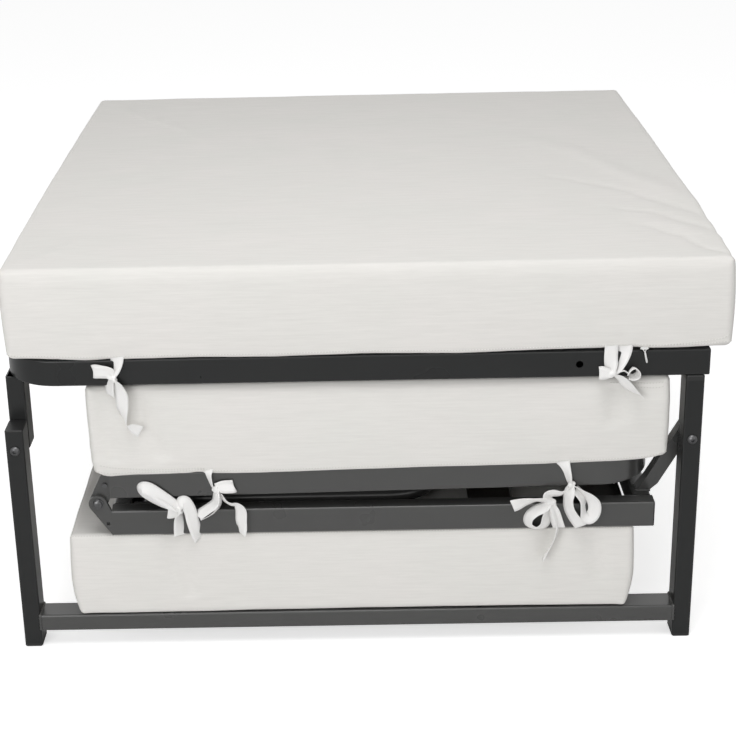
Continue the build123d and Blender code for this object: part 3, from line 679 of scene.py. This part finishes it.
def knot_lump(knot, wide, high, lean):
    """The tied knot: a soft lump of gathered tape with a few folds across it."""
    verts, faces = [], []
    rings, sides = 12, 20
    proud, half_depth = 4.4 * mm, 3.2 * mm
    deep_fold, small_fold, blunt = 0.1, 0.05, 0.8
    tilt = Matrix.Rotation(math.radians(lean), 3, "Y")
    centre = Vector((knot[0] * mm, tube_front - proud, knot[1] * mm))
    for i in range(rings + 1):
        rise = math.pi * i / rings
        for k in range(sides):
            turn = 2 * math.pi * k / sides
            fold = 1 + deep_fold * math.sin(4 * rise + 1.3 * math.sin(turn)) + small_fold * math.sin(3 * turn)
            spot = Vector((
                wide / 2 * math.copysign(abs(math.cos(rise)) ** blunt, math.cos(rise)) * mm,
                half_depth * math.sin(rise) * math.sin(turn) * fold,
                high / 2 * mm * math.sin(rise) ** blunt * math.cos(turn) * fold,
            ))
            verts.append(centre + tilt @ spot)
    for i in range(rings):
        a, b = i * sides, (i + 1) * sides
        faces += [[a + k, a + (k + 1) % sides, b + (k + 1) % sides, b + k] for k in range(sides)]
    return verts, faces


# Each tie: its knot at (X, Z) in mm, the knot's size and lean, and its tapes from the knot outward
ties = {
    "tie_top_left": ("top_deck", "top_mattress", (-267.5, 330), (9, 7, 40), [
        [(5.5, 27, 0.2, 0), (5.1, 20, 1.0, 16), (3.4, 11, 2.0, 43), (1.3, 4, 3.0, 60),
         (0.3, 0.4, 4.0, 60)],
        [(0.3, 1, 4.2, 50), (-4, 6.7, 4.6, 0), (-12, 8.5, 4.6, 0), (-18.5, 8.5, 4.2, 0),
         (-21, 8.5, 2.8, 0), (-18.5, 8.5, 1.4, 0), (-11.5, 6.5, 1.0, 10), (-1.7, 0.9, 2.2, 50)],
        [(-0.1, -0.6, 4.2, 55), (3.4, -8.3, 4.6, 27), (7.7, -19.6, 4.4, 16), (7.8, -31.5, 4.2, 23),
         (8.8, -43.8, 4.2, 57), (10.6, -53.1, 4.6, 72), (16, -56.8, 4.8, 30), (25.6, -62, 4.4, 5)],
        [(-1.7, -1.2, 3.4, 55), (-4.4, -7.7, 2.6, 43), (-4.9, -14.4, 2.2, 46), (-4.4, -20.1, 1.8, 51)],
    ]),
    "tie_top_right": ("top_deck", "top_mattress", (265.5, 325.5), (9, 7, -10), [
        [(-1.8, 34, 0.2, 0), (-1.9, 28, 0.9, 0), (-2.4, 19.5, 1.8, 0), (-1.9, 9.4, 2.8, 17),
         (-0.1, 1, 4.0, 55)],
        [(13.1, 33, 0.2, 0), (13, 27, 0.8, 11), (10.3, 17.4, 1.6, 37), (6.3, 7.7, 2.6, 60),
         (1.5, 0.9, 3.8, 60)],
        [(-0.2, 0.2, 4.6, 40), (-4.5, 0.8, 5.0, 6), (-9.5, 0.8, 4.8, 0), (-12.6, 0.8, 4.2, 0),
         (-14.2, 0.8, 3.0, 0), (-12.6, 0.8, 1.8, 0), (-8, 0.5, 1.2, 8), (-1.7, -0.4, 1.8, 40)],
        [(1.9, 0.8, 4.4, 70), (7.1, 3, 4.8, 73), (11.9, 4.1, 5.2, 74), (15.6, 0.7, 5.6, 76),
         (17.3, 3.6, 6.0, 77), (21.3, 7.5, 6.2, 77), (26.1, 4.5, 6.0, 77), (26.4, -1, 5.4, 76),
         (21.7, -3.6, 4.8, 75), (17.2, -2.7, 4.2, 75)],
        [(0.5, -0.8, 4.6, 60), (7.8, -4.4, 4.8, 52), (14.9, -11.7, 4.6, 42), (22.3, -19.1, 4.2, 54),
         (32.7, -27.3, 3.8, 83)],
    ]),
    "tie_middle_left": ("outer_deck", "outer_mattress", (-164, 197), (8, 8, 60), [
        [(-9.1, 24, 0.2, 0), (-9, 17.5, 1.2, 37), (-6.4, 9.5, 2.2, 58), (-3.4, 2.4, 3.6, 65),
         (-1.4, 0.6, 4.2, 60)],
        [(-0.7, 2.4, 4.4, -20), (5, 3.2, 5.0, -22), (12, 3.2, 4.8, -22), (18, 3.2, 4.2, -22),
         (20, 3.2, 3.2, -22), (18, 3.2, 2.2, -22), (12, 2.4, 2.0, -20), (4, 0.5, 2.6, -20)],
        [(1.2, -0.6, 4.6, 50), (0.4, -7.9, 5.2, 55), (-1.5, -16.4, 5.4, 60), (-9.5, -23.1, 5.4, 62),
         (-17.6, -29.2, 5.0, 59), (-19.7, -33.4, 4.2, 65), (-15.2, -35.5, 3.6, 69),
         (-4.9, -30.3, 3.2, 65), (1.6, -21.9, 3.0, 70), (3.8, -11.5, 3.4, 70), (3.3, -3.5, 4.0, 65)],
        [(4.8, -5.1, 4.2, 65), (9.8, -13.7, 4.4, 60), (16.3, -17.9, 4.8, 54), (22.8, -18.8, 5.0, 46),
         (26.8, -25.9, 4.6, 30), (26.5, -39.1, 4.2, 30), (27.1, -47.9, 4.0, 42),
         (26.4, -55.3, 3.8, 55)],
    ]),
    "tie_middle_right": ("outer_deck", "outer_mattress", (225.5, 195.5), (9, 7, -50), [
        [(-9, 30, 0.2, 0), (-8.9, 22.7, 1.2, 17), (-5.8, 13, 2.2, 44), (-2.7, 3.5, 3.6, 60),
         (-0.6, 0, 4.2, 60)],
        [(0.3, 2, 4.6, 55), (-1.6, -6.9, 5.2, 38), (-3.3, -16.1, 5.4, 50), (-2, -28.4, 5.2, 42),
         (3.5, -39.9, 4.8, 32), (11.6, -51.5, 4.2, 22)],
        [(1.9, -1.9, 4.2, 62), (10.6, -7.1, 4.6, 62), (19.8, -14.6, 4.8, 42), (25.4, -23.5, 4.8, 22),
         (25.5, -33.9, 4.6, 22), (20.7, -40.8, 4.2, 37), (15.4, -38.4, 3.4, 47), (14.2, -29, 2.8, 55),
         (12.8, -17.8, 2.6, 55), (4.7, -6.3, 3.0, 60)],
    ]),
    "tie_low_left": ("inner_deck", "inner_mattress", (-205.5, 172), (10, 8, 30), [
        [(-1, -32, 1.6, 28), (-0.7, -20.5, 2.4, 32), (-0.4, -9.7, 3.4, 44), (0.2, -1.5, 4.4, 60)],
        [(19.8, -37.5, 1.8, 58), (16.5, -24.1, 3.0, 35), (13.9, -11.3, 4.2, 30), (11.8, 1.2, 5.0, 32),
         (7.1, 10.5, 5.4, 38), (1.4, 9.2, 5.0, 48), (0, 2, 4.4, 60)],
        [(0.3, 0.9, 4.6, 55), (-6.7, 8.0, 5.8, 42), (-19, 18.6, 6.6, 36), (-31, 28.2, 7.0, 44),
         (-38.5, 29.8, 6.6, 52), (-41, 26.4, 5.8, 55), (-37, 21, 5.2, 42), (-25.3, 13.6, 4.8, 34),
         (-11, 5.2, 4.4, 38), (-1, 0.5, 4.2, 55)],
        [(0, 0.1, 5.0, 45), (-4.5, -1.4, 5.6, 12), (-9.5, -1.6, 5.2, 8), (-12.4, -1.6, 4.2, 8),
         (-9.5, -1.6, 3.0, 8), (-4.5, -1.4, 2.8, 20), (0, -0.2, 3.4, 45)],
    ]),
    "tie_low_right": ("inner_deck", "inner_mattress", (203, 175), (12, 9, 8), [
        [(-0.3, 0.8, 4.8, -40), (-7.9, 2.6, 5.2, -46), (-16.3, 3.2, 5.4, -50), (-28, 1, 5.0, -30),
         (-36.9, -2.4, 4.6, -8), (-41.9, -4.4, 4.2, 0)],
        [(-0.8, 1.6, 4.6, 45), (-3.4, 8.5, 5.2, 33), (1.9, 11.2, 5.6, 34), (9.4, 10.8, 5.8, 44),
         (16.5, 13.9, 5.6, 60), (20.2, 17.2, 5.0, 66)],
        [(0, -0.4, 4.4, 58), (-7.7, -6.3, 5.4, 60), (-16.1, -10, 6.0, 60), (-23.4, -17.2, 6.2, 58),
         (-23.8, -26.1, 5.8, 54), (-15.6, -31.1, 5.2, 54), (-6.3, -27.3, 4.8, 36),
         (-4.3, -16.3, 4.4, 45), (-1.2, -5.1, 4.2, 58)],
        [(1.1, -1.4, 3.6, 50), (4.5, -13.4, 3.0, 30), (7.9, -25, 2.6, 25), (10.4, -33, 2.2, 25)],
        [(1.5, -1.3, 4.6, -50), (5.6, -14.3, 5.0, -60), (8.3, -28.3, 5.2, -68), (6.3, -42.6, 5.0, -72),
         (1.1, -55, 4.8, -76), (-7, -70.7, 4.8, -80)],
    ]),
}
for name, (body, mattress, knot, lump, tapes) in ties.items():
    strips = [ribbon(knot, points) for points in tapes]
    verts, faces = joined([strip[:2] for strip in strips] + [knot_lump(knot, *lump)])
    piece = mesh_piece(name, verts, faces, tape, body)


# Zip pulls

def plate_points(outline, y, thick):
    """Flat plate with an outline of (x, z) points in mm, between y and y + thick."""
    n = len(outline)
    verts = [(x * mm, y, z * mm) for x, z in outline] + [(x * mm, y + thick, z * mm) for x, z in outline]
    faces = [list(range(n)), list(range(n, 2 * n))[::-1]]
    faces += [[k, (k + 1) % n, n + (k + 1) % n, n + k] for k in range(n)]
    return verts, faces


def zip_pull(name, x, z, y, reach, body):
    """White-lacquered slider on the zip with a slim pull, whose foot hangs (right, down) in mm from it."""
    slider = plate_points([
        (x - 4.4, z - 0.4), (x - 3.6, z + 1.6), (x + 3.6, z + 1.6), (x + 4.4, z - 0.2),
        (x + 2.2, z - 1.2), (x - 2.2, z - 1.2)], y, 3.0 * mm)
    ring = [((x + 1.3 * math.cos(a)) * mm, y - 0.6 * mm, (z - 1.2 + 1.8 * math.sin(a)) * mm)
            for a in np.linspace(0, 2 * math.pi, 17)[:-1]]
    right, down = reach
    pull = tube([((x + right * s) * mm, y - hang * mm, (z - 2.2 - (down - 2.2) * s) * mm)
                 for s, hang in ((0, 0.8), (0.25, 1.0), (0.8, 1.1), (1, 1.0))],
                [0.6 * mm, 0.95 * mm, 1.1 * mm, 0.8 * mm], 10)
    verts, faces = joined([slider, tube(ring, 0.4 * mm, 6, True), pull])
    return mesh_piece(name, verts, faces, lacquer, body, smooth=False)


zip_pull("top_zip_pull", 298.5, 352.8, tube_front - 2.2 * mm, (2.8, 15.5), "top_deck")
zip_pull("outer_zip_pull", 275, 184.5, -366 * mm, (4.4, 10.5), "outer_deck")


# Painted shade: black plugs set into the hinge plates' pin holes to darken the open holes

hole_x, hole_z, hole_radius = -285.3, 155.3, 2.0
plate_low, plate_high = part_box("inner_hinge_plates")


def hole_shade_plug(front, back):
    """Dished black plug in one of the plates' 4 mm holes: painted shade that darkens the open hole."""
    depths, widths = (0.0, 0.15, 0.6, 1.0), (0.62, 0.9, 0.99, 0.99)
    line = [(hole_x * mm, front + (back - front) * depth, hole_z * mm) for depth in depths]
    return tube(line, [hole_radius * mm * share for share in widths], 16)


shade_plug_depth = 2.4 * mm
shade_plug_set_back = 0.5 * mm
front_face, rear_face = plate_low.y + shade_plug_set_back, plate_high.y - shade_plug_set_back
verts, faces = joined([
    hole_shade_plug(front_face, front_face + shade_plug_depth), hole_shade_plug(rear_face, rear_face - shade_plug_depth)])
mesh_piece("hinge_plate_hole_shade", verts, faces, finishes["black_plastic"], "inner_deck")


# Weld beads

def weld_bead(corners):
    """Rippled bead of weld along a line of corners, laid half into the joint."""
    radius, step, ripple, ripple_turn = 1.5 * mm, 2.2 * mm, 0.16, 1.57
    line = []
    for a, b in zip(corners[:-1], corners[1:]):
        a, b = Vector(a), Vector(b)
        count = max(2, int((b - a).length / step * 2))
        line += [a + (b - a) * i / count for i in range(count)]
    line.append(Vector(corners[-1]))
    radii = [radius * (1 + ripple * math.sin(ripple_turn * i)) for i in range(len(line))]
    return tube([tuple(p) for p in line], radii, 7)


def weld_set(name, body, lines):
    """All the beads of one body as one piece, coated like the tubes."""
    verts, faces = joined([weld_bead(line) for line in lines])
    mesh_piece(name, verts, faces, coat, body)


corner_gap = 2 * mm
leg_lines = []
for rail in ("front_rail", "rear_rail"):
    low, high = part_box(rail)
    foot = low.z + corner_gap
    for x in (low.x, high.x):
        leg_lines.append([(x, low.y, foot), (x, low.y, high.z), (x, high.y, high.z), (x, high.y, foot)])
low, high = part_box("stand_cross_tubes")
cross_wide = 30 * mm
for left in (low.x, high.x - cross_wide):
    right = left + cross_wide
    for y in (low.y, high.y):
        leg_lines.append([(left, y, low.z), (left, y, high.z), (right, y, high.z), (right, y, low.z)])
weld_set("stand_welds", "stand", leg_lines)


def end_welds(node):
    """Beads up both sides of a cross bar where it meets the side tubes."""
    low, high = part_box(node)
    return [[(x, y, low.z + corner_gap), (x, y, high.z - corner_gap)]
            for x in (low.x, high.x) for y in (low.y, high.y)]


weld_set("top_deck_welds", "top_deck", end_welds("top_end_tube"))
arm_lines = []
arm_low, arm_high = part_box("arm_feet")
deck_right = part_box("inner_end_tube")[1].x
foot_left = deck_right - 15 * mm
arm_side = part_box("swing_arm_front")
arm_wide = arm_side[1].y - arm_side[0].y
z = arm_low.z
for near in (arm_low.y, arm_high.y - arm_wide):
    far = near + arm_wide
    arm_lines.append([(foot_left, near, z), (deck_right, near, z), (deck_right, far, z), (foot_left, far, z),
                      (foot_left, near, z)])
cross_lines = end_welds("inner_end_tube") + end_welds("inner_hinge_tube")
weld_set("inner_deck_welds", "inner_deck", cross_lines + arm_lines)
weld_set("outer_deck_welds", "outer_deck", end_welds("outer_hinge_tube"))


# Studio

def white_surface():
    """Matt white studio floor; seen straight on it is lifted to white, and it keeps the shadow."""
    lift = 0.57
    material, tree = blank_material("studio_white")
    seen = add(tree, "LightPath")
    glow = add(tree, "Emission", {"Color": linear("#FFFFFF"), "Strength": lift})
    paint = add(tree, "BsdfDiffuse", {"Color": linear("#F7F7F7")})
    both = add(tree, "AddShader", {0: paint.outputs[0], 1: glow.outputs[0]})
    mixed = add(tree, "MixShader", {
        0: seen.outputs["Is Camera Ray"], 1: paint.outputs[0], 2: both.outputs[0]})
    add(tree, "OutputMaterial", {"Surface": mixed.outputs[0]})
    return material


half_floor = 7.0
floor_drop = 0.3 * mm
floor_mesh = bpy.data.meshes.new("studio_floor")
floor_corners = [(x * half_floor, y * half_floor, -floor_drop)
                 for x, y in ((-1, -1), (1, -1), (1, 1), (-1, 1))]
floor_mesh.from_pydata(floor_corners, [], [(0, 1, 2, 3)])
floor_mesh.materials.append(white_surface())
floor = bpy.data.objects.new("studio_floor", floor_mesh)
bpy.context.scene.collection.objects.link(floor)


def white_world(ambient):
    """White all round for the eye and for reflections, and a softer fill for the light itself."""
    world = bpy.data.worlds.new("studio_world")
    bpy.context.scene.world = world
    world.use_nodes = True
    tree = world.node_tree
    tree.nodes.clear()
    path = add(tree, "LightPath")
    mirror = add(tree, "Math", {
        0: path.outputs["Is Camera Ray"], 1: path.outputs["Is Glossy Ray"]}, operation="MAXIMUM")
    clear = add(tree, "Math", {
        0: mirror.outputs[0], 1: path.outputs["Is Transmission Ray"]}, operation="MAXIMUM")
    fill = add(tree, "Background", {"Color": linear("#FFFFFF"), "Strength": ambient})
    seen = add(tree, "Background", {"Color": linear("#FFFFFF"), "Strength": 1.0})
    mixed = add(tree, "MixShader", {0: clear.outputs[0], 1: fill.outputs[0], 2: seen.outputs[0]})
    add(tree, "OutputWorld", {"Surface": mixed.outputs[0]})


def soft_box(name, place, size, power):
    """Square studio light that looks at the middle of the bed."""
    lamp = bpy.data.lights.new(name, "AREA")
    lamp.shape, lamp.size, lamp.energy = "SQUARE", size, power
    light = bpy.data.objects.new(name, lamp)
    bpy.context.scene.collection.objects.link(light)
    aim = Vector((0.0, 0.0, 0.25))
    light.location = place
    light.rotation_euler = (aim - Vector(place)).to_track_quat("-Z", "Y").to_euler()


white_world(0.4)
# Each light's place and size in metres, and its power in watts
soft_box("key_light", (-1.4, -3.0, 1.2), 1.6, 28.0)
soft_box("fill_light", (2.0, -2.6, 1.1), 1.8, 4.4)
soft_box("top_light", (0.0, -0.8, 2.1), 1.2, 17.6)


# Camera, at the photograph's place and angle

image_size = 736
focal_pixels = 1654.3
principal_x, principal_y = 329.9, 325.8
pitch, yaw, roll = (math.radians(a) for a in (20.602, -0.869, -1.373))
sensor = 36.0
camera_place = (-0.0098, -2.045, 1.0)
camera_data = bpy.data.cameras.new("camera")
camera_data.sensor_width = sensor
camera_data.lens = focal_pixels / image_size * sensor
camera_data.shift_x = (image_size / 2 - principal_x) / image_size
camera_data.shift_y = (principal_y - image_size / 2) / image_size
camera = bpy.data.objects.new("camera", camera_data)
bpy.context.scene.collection.objects.link(camera)
forward = Vector((math.sin(yaw) * math.cos(pitch), math.cos(yaw) * math.cos(pitch), -math.sin(pitch)))
level = Vector((math.cos(yaw), -math.sin(yaw), 0.0))
upright = level.cross(forward)
across = level * math.cos(roll) + upright * math.sin(roll)
above = upright * math.cos(roll) - level * math.sin(roll)
turned = Matrix((across, above, -forward)).transposed().to_4x4()
camera.matrix_world = Matrix.Translation(camera_place) @ turned
bpy.context.scene.camera = camera
bpy.context.scene.view_settings.view_transform = "Standard"
